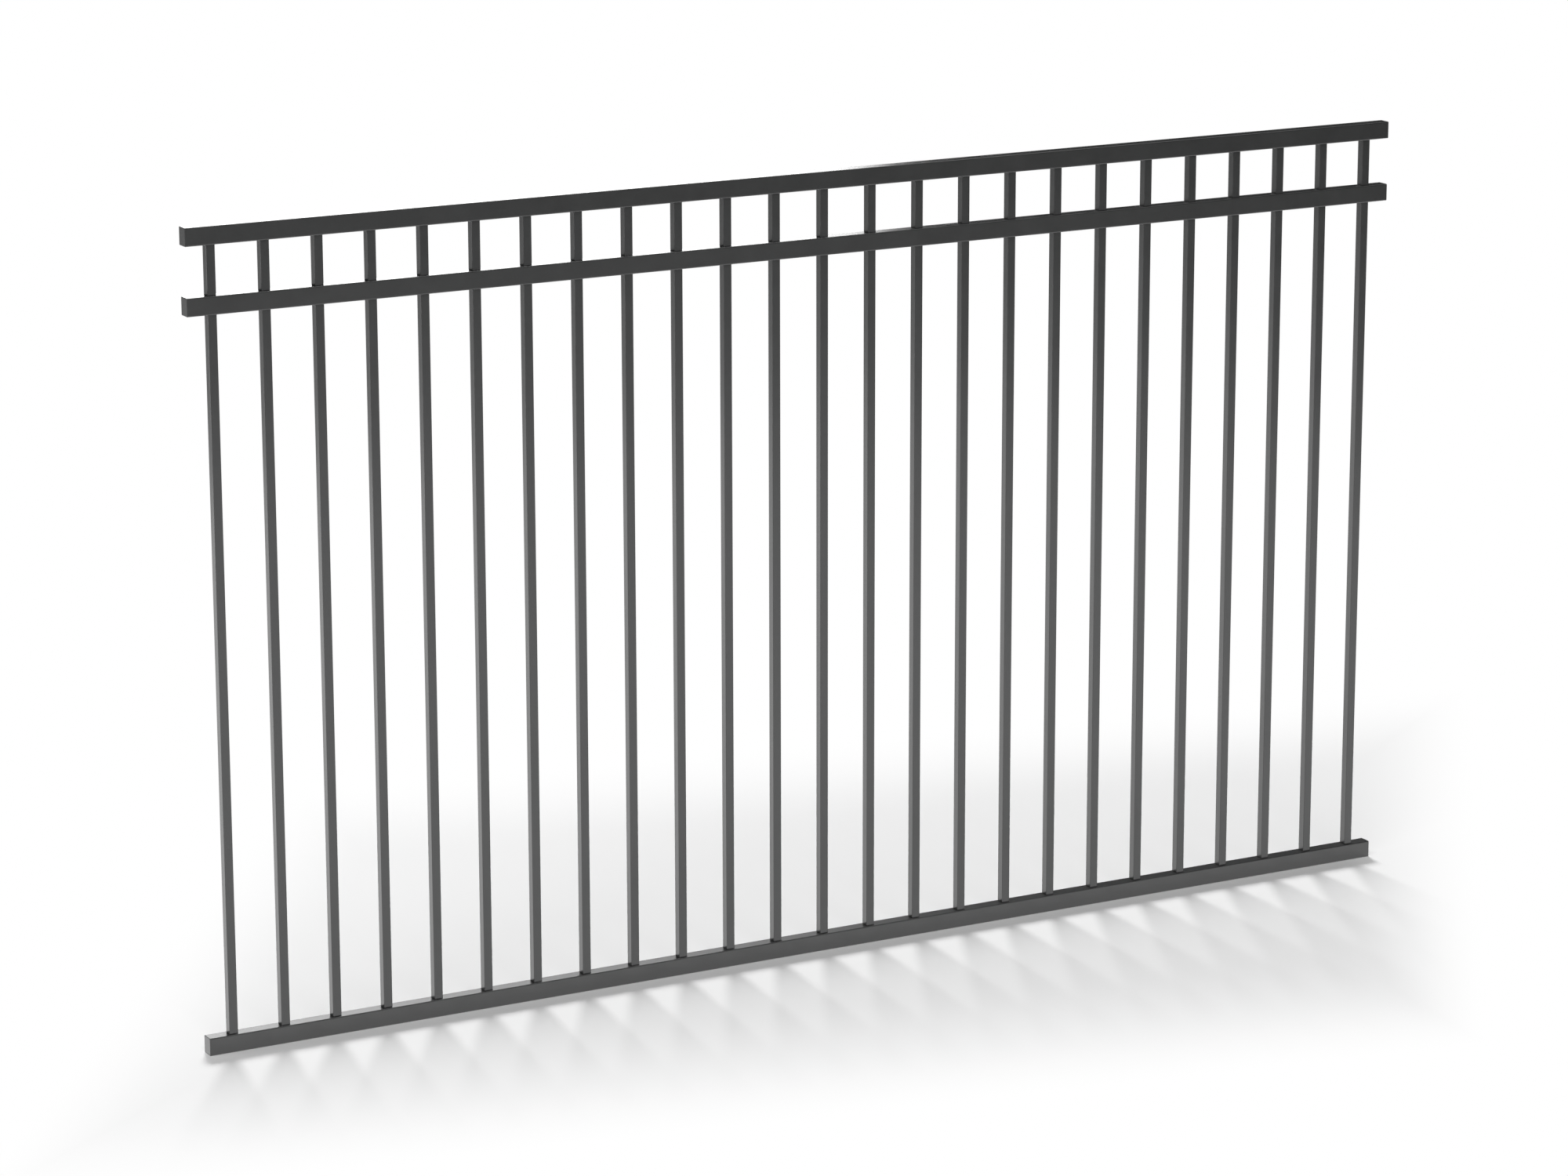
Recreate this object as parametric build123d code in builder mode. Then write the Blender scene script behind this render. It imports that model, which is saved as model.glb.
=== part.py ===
"""Steel pool fence panel: two close top rails, a bottom rail, square pickets and rail end caps.

The rails are rectangular steel tubes. The pickets are square tubes that stand in punched holes:
each one starts on the floor of the bottom rail, runs right through the second rail and ends
against the roof of the top rail. A plug-in cap closes each rail end.

Frame, in millimetres: the origin is the middle of the bottom rail's left end face, +X runs along
the panel, +Y runs from the front to the back, and +Z is up.
"""

import os

from build123d import *

# The whole panel.
panel_length = 2438.0  # from cap face to cap face
panel_height = 1450.0  # from the underside of the bottom rail to the top of the top rail

# Rails: rectangular steel tube, the long side of the section upright.
rail_height = 31.8
rail_depth = 25.4
rail_wall = 1.6
rail_corner = 1.8  # outside corner radius
rail_gap = 87.0  # clear height between the top rail and the second rail

# Pickets: square steel tube at an even pitch.
picket_count = 25
picket_side = 16.0
picket_wall = 1.2
picket_corner = 1.0  # outside corner radius
end_margin = 39.0  # from the end of a rail to the side of its first picket

# Punched holes: square, with the same room on all four sides of a picket.
hole_clearance = 0.25

# Rail end caps: a face plate with a hollow plug that grips inside the tube.
cap_plate = 2.0
cap_edge = 0.6  # chamfer round the plate's outer rim
plug_length = 14.0
plug_wall = 1.6
plug_clearance = 0.9  # between the plug and the inside of the tube
grip_rib = 0.7  # how far a grip rib stands out from the plug
grip_rib_width = 1.5
grip_rib_count = 2

# Sizes that follow from the ones above.
tube_length = panel_length - 2 * cap_plate
bore_depth = rail_depth - 2 * rail_wall
bore_height = rail_height - 2 * rail_wall

picket_pitch = (panel_length - 2 * end_margin - picket_side) / (picket_count - 1)
picket_length = panel_height - 2 * rail_wall
picket_bore = picket_side - 2 * picket_wall
hole_side = picket_side + 2 * hole_clearance

plug_depth = bore_depth - 2 * plug_clearance
plug_height = bore_height - 2 * plug_clearance
grip_rib_step = plug_length / (grip_rib_count + 1)

# Heights of the rail centre lines, measured from the bottom rail's own centre line.
bottom_rail_level = 0.0
top_rail_level = panel_height - rail_height
second_rail_level = top_rail_level - rail_height - rail_gap
picket_foot_level = rail_wall - rail_height / 2

os.makedirs("parts", exist_ok=True)


def save(piece, name):
    """Name one finished piece and write it to its own file."""
    piece.label = name
    export_step(piece, f"parts/{name}.step")


def underside(rail_level):
    """Height of a rail's lower face."""
    return rail_level - rail_height / 2


def top_face(rail_level):
    """Height of a rail's upper face."""
    return rail_level + rail_height / 2


def make_rail(name, level, punched_faces):
    """One rail tube, with a row of square picket holes through the wall at each height of punched_faces."""
    with BuildPart() as rail:
        with BuildSketch(Plane.YZ.offset(cap_plate)):
            with Locations((0, level)):
                RectangleRounded(rail_depth, rail_height, rail_corner)
                Rectangle(bore_depth, bore_height, mode=Mode.SUBTRACT)
        extrude(amount=tube_length)
        for face_height in punched_faces:
            with BuildSketch(Plane((panel_length / 2, 0, face_height))):
                with GridLocations(picket_pitch, picket_pitch, picket_count, 1):
                    Rectangle(hole_side, hole_side)
            extrude(amount=2 * rail_wall, both=True, mode=Mode.SUBTRACT)
    save(rail.part, name)


def make_picket(name, along):
    """One picket: a plain square tube from the floor of the bottom rail to the roof of the top rail."""
    with BuildPart() as picket:
        with BuildSketch(Plane((along, 0, picket_foot_level))):
            RectangleRounded(picket_side, picket_side, picket_corner)
            Rectangle(picket_bore, picket_bore, mode=Mode.SUBTRACT)
        extrude(amount=picket_length)
    save(picket.part, name)


def make_cap(name, face):
    """One end cap, built up from its outer face: face is a plane whose normal points into the rail."""
    inward = Axis(face.origin, face.z_dir)
    with BuildPart() as cap:
        with BuildSketch(face):
            RectangleRounded(rail_depth, rail_height, rail_corner)
        extrude(amount=cap_plate)
        chamfer(cap.faces().sort_by(inward)[0].edges(), cap_edge)
        with BuildSketch(face.offset(cap_plate)):
            Rectangle(plug_depth, plug_height)
        extrude(amount=plug_length)
        for rib in range(grip_rib_count):
            with BuildSketch(face.offset(cap_plate + (rib + 1) * grip_rib_step)):
                Rectangle(plug_depth + 2 * grip_rib, plug_height + 2 * grip_rib)
            extrude(amount=grip_rib_width)
        with BuildSketch(face.offset(cap_plate)):
            Rectangle(plug_depth - 2 * plug_wall, plug_height - 2 * plug_wall)
        extrude(amount=plug_length, mode=Mode.SUBTRACT)
    save(cap.part, name)


# Rails: punched in each wall that a picket goes through, and closed where it stops.
make_rail("top_rail", top_rail_level, [underside(top_rail_level)])
make_rail("second_rail", second_rail_level, [underside(second_rail_level), top_face(second_rail_level)])
make_rail("bottom_rail", bottom_rail_level, [top_face(bottom_rail_level)])

# Pickets, counted from the left end.
for index in range(picket_count):
    make_picket(f"picket_{index + 1:02d}", end_margin + picket_side / 2 + index * picket_pitch)

# End caps, one in each rail end.
for rail_name, rail_level in (
    ("top_rail", top_rail_level),
    ("second_rail", second_rail_level),
    ("bottom_rail", bottom_rail_level),
):
    make_cap(f"{rail_name}_left_cap", Plane((0, 0, rail_level), x_dir=(0, 1, 0), z_dir=(1, 0, 0)))
    make_cap(f"{rail_name}_right_cap", Plane((panel_length, 0, rail_level), x_dir=(0, 1, 0), z_dir=(-1, 0, 0)))
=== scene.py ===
"""Looks of the steel pool fence panel: coated tube rails and pickets, weld beads, end caps and the studio."""

import math

import bmesh
import bpy
import numpy as np
from mathutils import Matrix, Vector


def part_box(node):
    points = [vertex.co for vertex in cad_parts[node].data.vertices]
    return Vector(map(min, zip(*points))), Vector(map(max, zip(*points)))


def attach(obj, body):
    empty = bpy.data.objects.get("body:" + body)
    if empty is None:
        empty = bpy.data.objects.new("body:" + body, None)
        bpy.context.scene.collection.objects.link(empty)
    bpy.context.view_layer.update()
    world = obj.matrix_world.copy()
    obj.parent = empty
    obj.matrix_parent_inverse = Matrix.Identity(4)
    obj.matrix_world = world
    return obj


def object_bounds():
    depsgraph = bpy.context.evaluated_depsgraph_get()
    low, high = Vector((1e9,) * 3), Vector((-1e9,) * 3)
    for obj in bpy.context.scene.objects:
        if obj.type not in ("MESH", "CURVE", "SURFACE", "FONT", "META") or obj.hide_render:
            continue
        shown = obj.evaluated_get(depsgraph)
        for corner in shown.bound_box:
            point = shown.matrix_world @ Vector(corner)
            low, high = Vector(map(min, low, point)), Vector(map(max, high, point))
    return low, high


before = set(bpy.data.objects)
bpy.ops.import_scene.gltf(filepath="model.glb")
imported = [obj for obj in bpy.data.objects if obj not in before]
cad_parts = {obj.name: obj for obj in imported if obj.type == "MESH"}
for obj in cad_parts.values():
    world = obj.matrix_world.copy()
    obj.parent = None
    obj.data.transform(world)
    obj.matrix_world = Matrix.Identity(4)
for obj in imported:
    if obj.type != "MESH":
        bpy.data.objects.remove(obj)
cad_low, cad_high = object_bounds()


# Rails: three lengths of rectangular steel tube, galvanised, then powder coated in satin black.
# The powder is sprayed on dry and baked, so it flows out to an even skin with a faint orange peel.
mm = 0.001
RAILS = ("top_rail", "second_rail", "bottom_rail")
COAT_COLOUR = "#2D2E2E"
COAT_COLOUR_THIN = "#262727"
COAT_IOR = 1.57
COAT_GLOSS = (0.30, 0.36)  # roughness of the film where it is thin and where it is thick
COAT_SKIN_ROUGHNESS = 0.2
COAT_PATCH_MM = 45.0
COAT_PATCH_DETAIL = 3.0
COAT_PATCH_ROUGHNESS = 0.55
COAT_PEEL_MM = 4.0  # real orange peel is about 2 mm across, drawn coarser so that it shows
COAT_PEEL_DETAIL = 1.0
COAT_PEEL_DEPTH_MM = 0.02
COAT_PEEL_STRENGTH = 0.15
NOISE_LOW, NOISE_HIGH = 0.3, 0.7  # nearly all values of a noise pattern lie between these


def linear(hex_colour):
    """An sRGB hex colour as linear red, green, blue and alpha."""
    srgb = np.array([int(hex_colour[i:i + 2], 16) for i in (1, 3, 5)]) / 255
    rgb = np.where(srgb <= 0.04045, srgb / 12.92, ((srgb + 0.055) / 1.055) ** 2.4)
    return (*rgb.tolist(), 1.0)


def add_node(tree, kind, inputs=None, **settings):
    """Add one node: settings are its properties, inputs gives each socket a value or an output to link."""
    node = tree.nodes.new(kind)
    for name, value in settings.items():
        setattr(node, name, value)
    for socket, value in (inputs or {}).items():
        if isinstance(value, bpy.types.NodeSocket):
            tree.links.new(value, node.inputs[socket])
        else:
            node.inputs[socket].default_value = value
    return node


def new_material(name):
    """An empty node material and its tree."""
    material = bpy.data.materials.new(name)
    material.use_nodes = True
    material.node_tree.nodes.clear()
    return material, material.node_tree


def finish_nodes(names, material):
    """Give CAD nodes their real finish in every material slot."""
    for name in names:
        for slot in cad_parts[name].material_slots:
            slot.material = material


# Baked polyester powder: a dark film, a shade lighter where it is thicker, that mirrors softly.
powder_coat, tree = new_material("satin_black_powder_coat")
place = add_node(tree, "ShaderNodeTexCoord").outputs["Object"]
patches = add_node(tree, "ShaderNodeTexNoise", {
    "Vector": place, "Scale": 1 / (COAT_PATCH_MM * mm),
    "Detail": COAT_PATCH_DETAIL, "Roughness": COAT_PATCH_ROUGHNESS})
film_colour = add_node(tree, "ShaderNodeValToRGB", {"Fac": patches.outputs["Fac"]})
thin_film, thick_film = film_colour.color_ramp.elements
thin_film.position, thick_film.position = NOISE_LOW, NOISE_HIGH
thin_film.color = linear(COAT_COLOUR_THIN)
thick_film.color = linear(COAT_COLOUR)
film_gloss = add_node(tree, "ShaderNodeMapRange", {
    "Value": patches.outputs["Fac"], "From Min": NOISE_LOW, "From Max": NOISE_HIGH,
    "To Min": COAT_GLOSS[0], "To Max": COAT_GLOSS[1]})
peel = add_node(tree, "ShaderNodeTexNoise", {
    "Vector": place, "Scale": 1 / (COAT_PEEL_MM * mm), "Detail": COAT_PEEL_DETAIL})
film_relief = add_node(tree, "ShaderNodeBump", {
    "Height": peel.outputs["Fac"], "Strength": COAT_PEEL_STRENGTH, "Distance": COAT_PEEL_DEPTH_MM * mm})
film = add_node(tree, "ShaderNodeBsdfPrincipled", {
    "Base Color": film_colour.outputs["Color"], "Roughness": film_gloss.outputs["Result"],
    "Normal": film_relief.outputs["Normal"], "IOR": COAT_IOR,
    "Coat Weight": 1.0, "Coat Roughness": COAT_SKIN_ROUGHNESS, "Coat IOR": COAT_IOR,
    "Coat Normal": film_relief.outputs["Normal"]})
add_node(tree, "ShaderNodeOutputMaterial", {"Surface": film.outputs["BSDF"]})
finish_nodes(RAILS, powder_coat)


# Pickets: lengths of square steel tube, pushed through the punched holes of the rails.
# They are coated together with the rails, after welding, so the finish runs on without a break.
PICKETS = sorted(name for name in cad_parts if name.startswith("picket_"))
finish_nodes(PICKETS, powder_coat)


# Weld beads: short fillet welds that hold the pickets in the rails, laid where they show least,
# under the two upper rails on both sides of each picket, and behind it on the bottom rail.
BEAD_LENGTH_MM = 13.0
BEAD_LEG_MM = 2.4
BEAD_CROWN = 0.12  # how far the middle of the bead lies inside a round quarter of the leg's radius
BEAD_RIPPLE_RINGS = 3
BEAD_RIPPLE_DEPTH = 0.05
BEAD_END = 0.35  # size of the bead at its two ends
BEAD_RINGS = 16
BEAD_ARC_POINTS = 4
BEAD_ROOT_MM = 0.4  # how deep the bead's root and edges lie in the steel


def add_weld_beads(name, corners, along, first_wall, second_wall):
    """Weld beads as one mesh, each a ring carried along the straight corner of two walls.

    At an angle t between the walls the ring stands leg * (1 - crown * sin^2 2t) off the corner. From -1 to 1
    along the bead its size is the root of 1 - (1 - end^2) * s^6, times a saw tooth of three rings for each
    ripple, as the molten pool sets in steps. The ring is closed by one more point, in the steel behind the
    corner, and the two end rings are closed by a flat face.
    """
    corners, along, first_wall, second_wall = (np.broadcast_to(np.asarray(v, float), (len(corners), 3))
                                               for v in (corners, along, first_wall, second_wall))
    step = np.linspace(-1, 1, BEAD_RINGS)
    saw_tooth = np.arange(BEAD_RINGS) % BEAD_RIPPLE_RINGS - (BEAD_RIPPLE_RINGS - 1) / 2
    swell = (1 + BEAD_RIPPLE_DEPTH * saw_tooth) * np.sqrt(1 - (1 - BEAD_END ** 2) * step ** 6)
    angle = np.linspace(0, np.pi / 2, BEAD_ARC_POINTS)
    reach = BEAD_LEG_MM * (1 - BEAD_CROWN * np.sin(2 * angle) ** 2)
    across = np.r_[reach * np.cos(angle), 0] - BEAD_ROOT_MM * np.r_[angle == angle[-1], True]
    height = np.r_[reach * np.sin(angle), 0] - BEAD_ROOT_MM * np.r_[angle == angle[0], True]
    ring = across[:, None] * first_wall[:, None, None] + height[:, None] * second_wall[:, None, None]
    line = corners[:, None] + step[:, None] * BEAD_LENGTH_MM / 2 * mm * along[:, None]
    points = line[:, :, None] + swell[:, None, None] * ring * mm
    count, rings, sides = points.shape[:3]
    number = np.arange(count * rings * sides).reshape(count, rings, sides)
    around = np.roll(number, -1, axis=2)
    quads = np.stack((number[:, :-1], number[:, 1:], around[:, 1:], around[:, :-1]), axis=-1).reshape(-1, 4)
    ends = np.concatenate((number[:, 0], number[:, -1]))
    mesh = bpy.data.meshes.new(name)
    mesh.from_pydata(points.reshape(-1, 3).tolist(), [], quads.tolist() + ends.tolist())
    shell = bmesh.new()
    shell.from_mesh(mesh)
    bmesh.ops.recalc_face_normals(shell, faces=shell.faces)
    shell.to_mesh(mesh)
    shell.free()
    mesh.shade_smooth()
    mesh.materials.append(powder_coat)
    beads = bpy.data.objects.new(name, mesh)
    bpy.context.scene.collection.objects.link(beads)
    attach(beads, "root")


picket_boxes = np.array([[list(corner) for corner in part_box(name)] for name in PICKETS])
picket_left, picket_right = picket_boxes[:, 0, 0], picket_boxes[:, 1, 0]
picket_back = picket_boxes[:, 1, 1]
picket_middle = picket_boxes.mean(axis=1)
for rail in ("top_rail", "second_rail"):
    rail_underside = np.full_like(picket_left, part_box(rail)[0][2])
    left_corners = np.c_[picket_left, picket_middle[:, 1], rail_underside]
    right_corners = np.c_[picket_right, picket_middle[:, 1], rail_underside]
    outward = np.repeat(((-1, 0, 0), (1, 0, 0)), len(PICKETS), axis=0)
    add_weld_beads(rail + "_welds", np.r_[left_corners, right_corners],
                   (0, 1, 0), outward, (0, 0, -1))
bottom_rail_top = np.full_like(picket_left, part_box("bottom_rail")[1][2])
add_weld_beads("bottom_rail_welds", np.c_[picket_middle[:, 0], picket_back, bottom_rail_top],
               (1, 0, 0), (0, 1, 0), (0, 0, 1))


# End caps: moulded nylon plugs in the colour of the coat, tapped into the open rail ends.
# The mould is lightly spark eroded, so the nylon has a fine grain under a soft skin, much like the coat.
CAPS = sorted(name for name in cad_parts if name.endswith("_cap"))
CAP_COLOUR = "#323333"
CAP_COLOUR_DULL = "#2D2E2E"
CAP_GLOSS = (0.30, 0.38)  # roughness in the hollows of the grain and on its tops
CAP_IOR = 1.57
CAP_SKIN_ROUGHNESS = 0.24
CAP_GRAIN_MM = 1.6  # the real grain is near 0.1 mm, drawn coarser so that it shows
CAP_GRAIN_DETAIL = 2.0
CAP_GRAIN_DEPTH_MM = 0.03
CAP_GRAIN_STRENGTH = 0.4
CAP_JOINT_SHADOW_MM = 0.35  # width of the painted shadow line in the joint where the plate meets the tube
CAP_JOINT_SHADOW_SHARE = 0.2  # share of the nylon's colour that is left in that painted shadow line

# Moulded nylon: an even black with a fine grain, and a painted shadow line in the joint between the cap's
# plate and the tube.
moulded_nylon, tree = new_material("black_moulded_nylon")
place = add_node(tree, "ShaderNodeTexCoord").outputs["Object"]
grain = add_node(tree, "ShaderNodeTexNoise", {
    "Vector": place, "Scale": 1 / (CAP_GRAIN_MM * mm), "Detail": CAP_GRAIN_DETAIL})
nylon_colour = add_node(tree, "ShaderNodeValToRGB", {"Fac": grain.outputs["Fac"]})
grain_hollow, grain_top = nylon_colour.color_ramp.elements
grain_hollow.position, grain_top.position = NOISE_LOW, NOISE_HIGH
grain_hollow.color = linear(CAP_COLOUR_DULL)
grain_top.color = linear(CAP_COLOUR)
nylon_gloss = add_node(tree, "ShaderNodeMapRange", {
    "Value": grain.outputs["Fac"], "From Min": NOISE_LOW, "From Max": NOISE_HIGH,
    "To Min": CAP_GLOSS[0], "To Max": CAP_GLOSS[1]})
nylon_relief = add_node(tree, "ShaderNodeBump", {
    "Height": grain.outputs["Fac"], "Strength": CAP_GRAIN_STRENGTH, "Distance": CAP_GRAIN_DEPTH_MM * mm})
middle = (cad_low + cad_high) / 2
# Painted shade: the nylon is darkened in a thin line next to the tube, where the joint's shadow would fall.
from_middle = add_node(tree, "ShaderNodeVectorMath", {0: place, 1: (middle.x, 0, 0)}, operation="SUBTRACT")
from_middle = add_node(tree, "ShaderNodeSeparateXYZ", {"Vector": from_middle.outputs["Vector"]})
from_middle = add_node(tree, "ShaderNodeMath", {0: from_middle.outputs["X"]}, operation="ABSOLUTE")
joint_line = middle.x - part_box("top_rail")[0][0]
painted_joint_shadow = add_node(tree, "ShaderNodeMapRange", {
    "Value": from_middle.outputs["Value"], "From Min": joint_line + CAP_JOINT_SHADOW_MM * mm / 2,
    "From Max": joint_line + CAP_JOINT_SHADOW_MM * mm, "To Min": CAP_JOINT_SHADOW_SHARE, "To Max": 1.0})
nylon_colour = add_node(tree, "ShaderNodeVectorMath", {
    "Vector": nylon_colour.outputs["Color"], "Scale": painted_joint_shadow.outputs["Result"]}, operation="SCALE")
nylon = add_node(tree, "ShaderNodeBsdfPrincipled", {
    "Base Color": nylon_colour.outputs["Vector"], "Roughness": nylon_gloss.outputs["Result"],
    "Normal": nylon_relief.outputs["Normal"], "IOR": CAP_IOR,
    "Coat Weight": 1.0, "Coat Roughness": CAP_SKIN_ROUGHNESS, "Coat IOR": CAP_IOR,
    "Coat Normal": nylon_relief.outputs["Normal"]})
add_node(tree, "ShaderNodeOutputMaterial", {"Surface": nylon.outputs["BSDF"]})
finish_nodes(CAPS, moulded_nylon)


# Studio floor: white paper, lit by the lamps near the panel so that it takes the panel's shadow.
# Further out it is plain white to the camera and in reflections. Lengths are in metres.
FLOOR_COLOUR = "#EDEDED"
FLOOR_SIZE = 120.0
FLOOR_LEAN = 0.72  # how far the shadows run sideways for each metre to the front or the back
FLOOR_LIT_LENGTH = (1.15, 1.5)  # distance along the panel from its middle where white begins and is full
FLOOR_LIT_WIDTH = (0.55, 1.15)  # the same to the front and the back, from a line behind the panel
FLOOR_LIT_BEHIND = 0.22  # how far that line lies behind the panel
FLOOR_LIT_SLANT = 0.2  # how far that line turns, so that white begins sooner at the front left
FLOOR_MIRRORED_WHITE = 0.6  # share of plain white that the coat mirrors from the lit floor


def seen_directly(tree):
    """1 for rays from the camera, mirrored rays and rays through glass, 0 for those that light a surface."""
    ray = add_node(tree, "ShaderNodeLightPath")
    share = ray.outputs["Is Camera Ray"]
    for kind in ("Is Glossy Ray", "Is Transmission Ray"):
        share = add_node(tree, "ShaderNodeMath", {0: share, 1: ray.outputs[kind]},
                         operation="MAXIMUM").outputs["Value"]
    return share


bpy.ops.mesh.primitive_plane_add(
    size=FLOOR_SIZE, location=(middle.x + FLOOR_LEAN * FLOOR_LIT_BEHIND, FLOOR_LIT_BEHIND, cad_low.z))
floor = bpy.context.object
floor.name = "studio_floor"
backdrop_paper, tree = new_material("white_backdrop_paper")
place = add_node(tree, "ShaderNodeTexCoord").outputs["Object"]
far = 0.0
for direction, (begin, full) in (((1, -FLOOR_LEAN, 0), FLOOR_LIT_LENGTH),
                                 ((FLOOR_LIT_SLANT, 1, 0), FLOOR_LIT_WIDTH)):
    off = add_node(tree, "ShaderNodeVectorMath", {0: place, 1: direction}, operation="DOT_PRODUCT")
    off = add_node(tree, "ShaderNodeMath", {0: off.outputs["Value"]}, operation="ABSOLUTE")
    off = add_node(tree, "ShaderNodeMapRange", {
        "Value": off.outputs["Value"], "From Min": begin, "From Max": full}, interpolation_type="SMOOTHSTEP")
    far = add_node(tree, "ShaderNodeMath", {0: off.outputs["Result"], 1: far},
                   operation="MAXIMUM").outputs["Value"]
mirrored = add_node(tree, "ShaderNodeLightPath").outputs["Is Glossy Ray"]
mirrored = add_node(tree, "ShaderNodeMath", {0: mirrored, 1: FLOOR_MIRRORED_WHITE}, operation="MULTIPLY")
white_share = add_node(tree, "ShaderNodeMath", {0: far, 1: mirrored.outputs["Value"]}, operation="MAXIMUM")
white_share = add_node(tree, "ShaderNodeMath", {0: white_share.outputs["Value"], 1: seen_directly(tree)},
                       operation="MULTIPLY")
paper = add_node(tree, "ShaderNodeBsdfDiffuse", {"Color": linear(FLOOR_COLOUR)})
white = add_node(tree, "ShaderNodeEmission", {"Color": (1, 1, 1, 1), "Strength": 1.0})
paper_or_white = add_node(tree, "ShaderNodeMixShader", {
    0: white_share.outputs["Value"], 1: paper.outputs["BSDF"], 2: white.outputs["Emission"]})
# From under the floor the panel's underside is seen through it.
underneath = add_node(tree, "ShaderNodeNewGeometry").outputs["Backfacing"]
clear = add_node(tree, "ShaderNodeBsdfTransparent")
top_or_clear = add_node(tree, "ShaderNodeMixShader", {
    0: underneath, 1: paper_or_white.outputs["Shader"], 2: clear.outputs["BSDF"]})
add_node(tree, "ShaderNodeOutputMaterial", {"Surface": top_or_clear.outputs["Shader"]})
floor.data.materials.append(backdrop_paper)


# Studio curtain: a ring of cloth round the set that glows with painted light, and only shows as the dark end
# of the reflections in the coat. It stays out of the camera's view and throws no shadow.
CURTAIN_RADIUS = 5.0
CURTAIN_HEIGHT = 12.0
CURTAIN_SIDES = 96
CURTAIN_LEVEL = 0.34  # brightness of its painted glow at its foot, as if lit by the white floor next to it
CURTAIN_LEVEL_SLOPE = -0.06  # change of that painted glow from the middle of the set to its right side
CURTAIN_FADE = (0.3, 1.4)  # the heights between which the painted glow fades to dark
CURTAIN_DARK = 0.08  # share of the level that is left higher up

bpy.ops.mesh.primitive_cylinder_add(
    vertices=CURTAIN_SIDES, radius=CURTAIN_RADIUS, depth=CURTAIN_HEIGHT, end_fill_type="NOTHING",
    location=(middle.x, middle.y, cad_low.z))
curtain = bpy.context.object
curtain.name = "studio_curtain"
curtain.visible_camera = curtain.visible_diffuse = curtain.visible_shadow = False
# Painted light: the cloth is an emission, no lamp, brightest at its foot as if lit by the floor and darker
# higher up.
cloth_painted_glow, tree = new_material("studio_cloth_painted_glow")
place = add_node(tree, "ShaderNodeTexCoord").outputs["Object"]
place = add_node(tree, "ShaderNodeSeparateXYZ", {"Vector": place})
level = add_node(tree, "ShaderNodeMapRange", {
    "Value": place.outputs["X"], "From Min": 0.0, "From Max": CURTAIN_RADIUS,
    "To Min": CURTAIN_LEVEL, "To Max": CURTAIN_LEVEL + CURTAIN_LEVEL_SLOPE}, clamp=False)
fade = add_node(tree, "ShaderNodeMapRange", {
    "Value": place.outputs["Z"], "From Min": CURTAIN_FADE[0], "From Max": CURTAIN_FADE[1],
    "To Min": 1.0, "To Max": CURTAIN_DARK}, interpolation_type="SMOOTHSTEP")
shade = add_node(tree, "ShaderNodeMath", {0: level.outputs["Result"], 1: fade.outputs["Result"]},
                 operation="MULTIPLY")
cloth_glow = add_node(tree, "ShaderNodeEmission", {"Color": (1, 1, 1, 1), "Strength": shade.outputs["Value"]})
add_node(tree, "ShaderNodeOutputMaterial", {"Surface": cloth_glow.outputs["Emission"]})
curtain.data.materials.append(cloth_painted_glow)


# Studio lamps: a wide softbox high on the front left, a smaller lamp at the back right, whose light
# throws the pickets' streaks on the floor, a white reflector that shows in the rails' tops, and a
# small fill that lights the panel's left sides. Places and sizes are in metres.
PANEL_FOOT = (1.2, 0.0, 0.3)  # a point low in the middle of the panel, which the two large lamps face
FRONT_SOFTBOX_PLACE = (-6.6, -10.6, 15.0)
FRONT_SOFTBOX_SIZE = (16.0, 3.2)
FRONT_SOFTBOX_WATTS = 2080
BACK_LAMP_PLACE = (4.2, 9.8, 6.6)
BACK_LAMP_SIZE = (4.1, 3.2)
BACK_LAMP_WATTS = 1630
REFLECTOR_PLACE = (2.0, 4.0, 2.6)
REFLECTOR_AIM = (2.0, 0.0, 2.6)
REFLECTOR_SIZE = (2.9, 2.0)
REFLECTOR_WATTS = 58
REFLECTOR_ROLL = -15  # degrees
LEFT_FILL_PLACE = (-2.8, 0.7, 0.8)
LEFT_FILL_AIM = (0.0, 0.0, 0.5)
LEFT_FILL_SIZE = (1.0, 1.4)
LEFT_FILL_WATTS = 27
SURROUND_LEVEL = 0.07  # even light from all round


def add_softbox(name, place, aim, size, watts, roll=0.0):
    """A rectangular area light at place, facing the point aim, both in metres, rolled by degrees."""
    lamp = bpy.data.lights.new(name, "AREA")
    lamp.shape = "RECTANGLE"
    lamp.size, lamp.size_y = size
    lamp.energy = watts
    holder = bpy.data.objects.new(name, lamp)
    bpy.context.scene.collection.objects.link(holder)
    place, aim = np.array(place), np.array(aim)
    back = (place - aim) / np.linalg.norm(place - aim)
    side = np.cross((0, 0, 1), back)
    side /= np.linalg.norm(side)
    facing = Matrix(np.c_[side, np.cross(back, side), back]).to_4x4()
    holder.matrix_world = Matrix.Translation(place) @ facing @ Matrix.Rotation(math.radians(roll), 4, "Z")
    holder.visible_camera = False
    return holder


add_softbox("front_softbox", FRONT_SOFTBOX_PLACE, PANEL_FOOT, FRONT_SOFTBOX_SIZE, FRONT_SOFTBOX_WATTS)
back_lamp = add_softbox("back_lamp", BACK_LAMP_PLACE, PANEL_FOOT, BACK_LAMP_SIZE, BACK_LAMP_WATTS)
back_lamp.visible_glossy = False
back_reflector = add_softbox("back_reflector", REFLECTOR_PLACE, REFLECTOR_AIM, REFLECTOR_SIZE,
                             REFLECTOR_WATTS, REFLECTOR_ROLL)
back_reflector.visible_diffuse = False
add_softbox("left_fill", LEFT_FILL_PLACE, LEFT_FILL_AIM, LEFT_FILL_SIZE, LEFT_FILL_WATTS)

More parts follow.
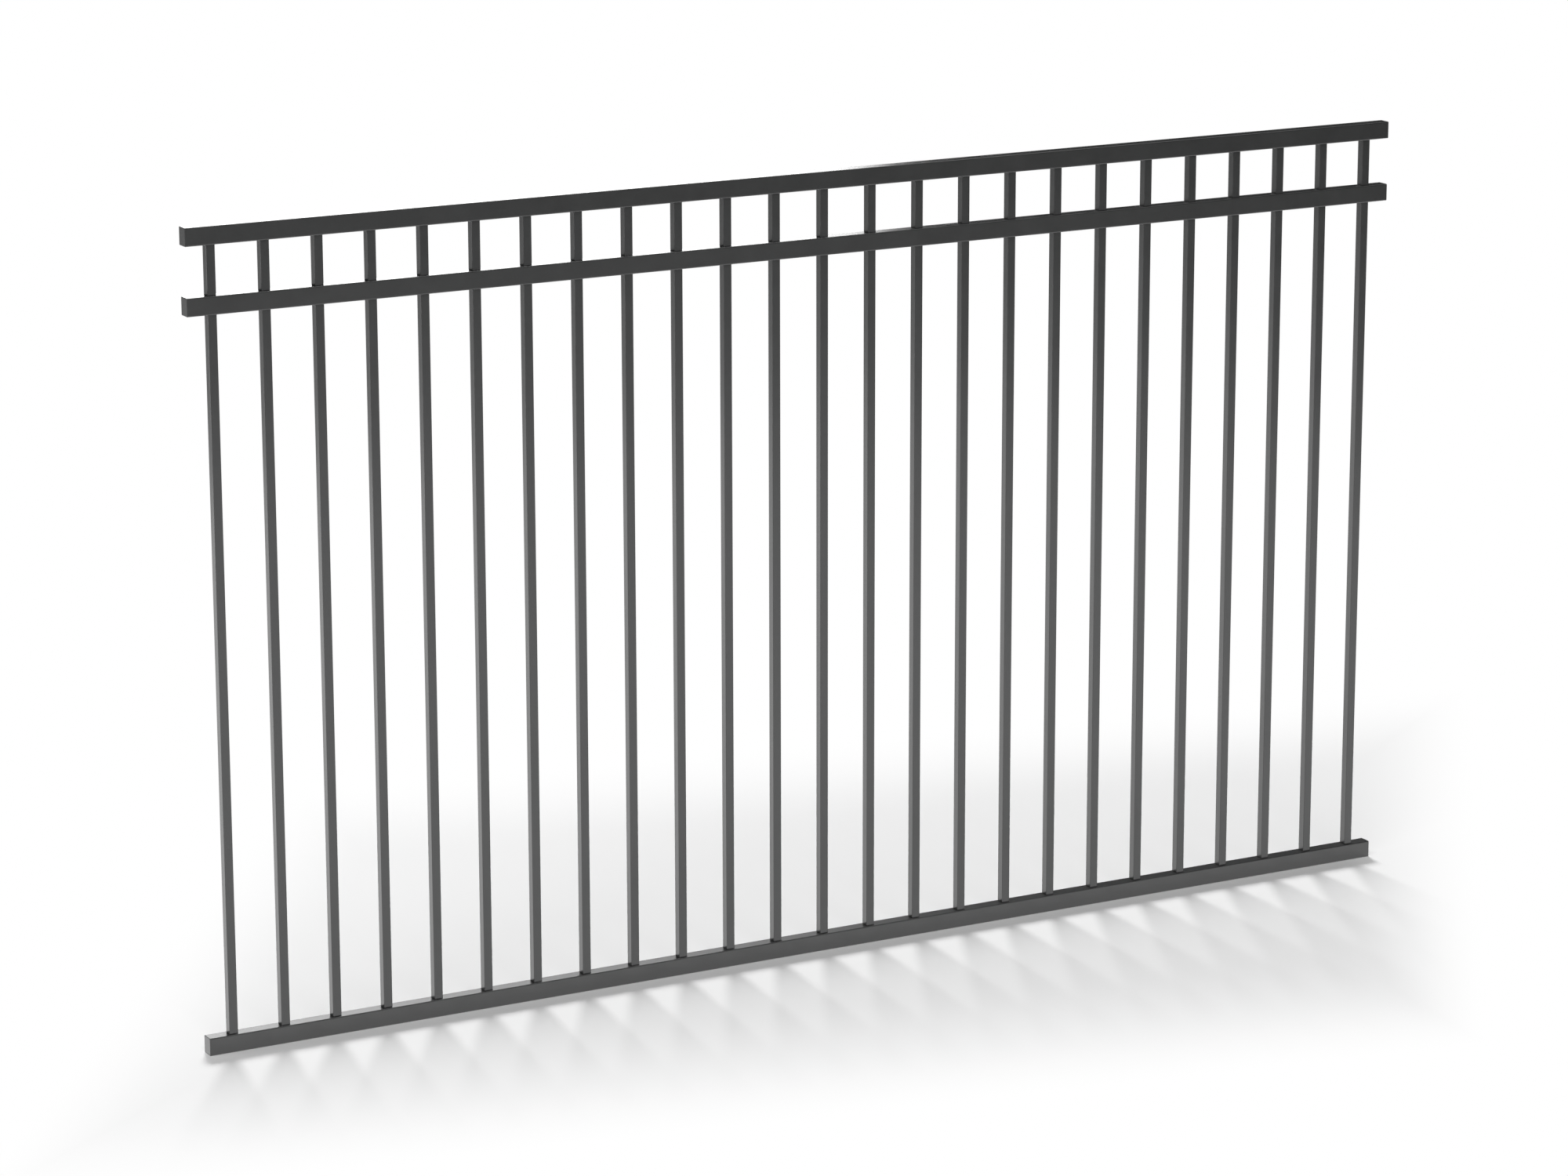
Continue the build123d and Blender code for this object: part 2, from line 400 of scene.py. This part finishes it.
# The surround is white where it is seen or mirrored, and a dim light on everything else.
world = bpy.data.worlds.new("studio_surround")
bpy.context.scene.world = world
world.use_nodes = True
tree = world.node_tree
tree.nodes.clear()
dim = add_node(tree, "ShaderNodeBackground", {"Color": (1, 1, 1, 1), "Strength": SURROUND_LEVEL})
white = add_node(tree, "ShaderNodeBackground", {"Color": (1, 1, 1, 1), "Strength": 1.0})
surround = add_node(tree, "ShaderNodeMixShader", {
    0: seen_directly(tree), 1: dim.outputs["Background"], 2: white.outputs["Background"]})
add_node(tree, "ShaderNodeOutputWorld", {"Surface": surround.outputs["Shader"]})


# Camera: a long lens in front of the panel, to its left and above it, turned right and tilted down.
# Its place, angles and focus were fitted to the straight edges of the rails and pickets.
CAMERA_PLACE = (-3.01786, -7.60381, 2.81855)
CAMERA_TURN, CAMERA_TILT, CAMERA_ROLL = np.radians((28.6712, -13.8650, -0.1107))
CAMERA_FOCUS_PX = 6302.76
IMAGE_WIDTH_PX = 2000
SENSOR_WIDTH_MM = 36.0
VIEW_DEPTH = 200.0

ahead = np.array((math.sin(CAMERA_TURN) * math.cos(CAMERA_TILT),
                  math.cos(CAMERA_TURN) * math.cos(CAMERA_TILT),
                  math.sin(CAMERA_TILT)))
level = np.array((math.cos(CAMERA_TURN), -math.sin(CAMERA_TURN), 0.0))
upright = np.cross(level, ahead)
right = level * math.cos(CAMERA_ROLL) + upright * math.sin(CAMERA_ROLL)
up = upright * math.cos(CAMERA_ROLL) - level * math.sin(CAMERA_ROLL)
lens = bpy.data.cameras.new("camera")
lens.sensor_width = SENSOR_WIDTH_MM
lens.lens = SENSOR_WIDTH_MM * CAMERA_FOCUS_PX / IMAGE_WIDTH_PX
lens.clip_end = VIEW_DEPTH
camera = bpy.data.objects.new("camera", lens)
camera.matrix_world = Matrix.Translation(CAMERA_PLACE) @ Matrix(np.c_[right, up, -ahead]).to_4x4()
bpy.context.scene.collection.objects.link(camera)
bpy.context.scene.camera = camera
bpy.context.scene.view_settings.view_transform = "Standard"
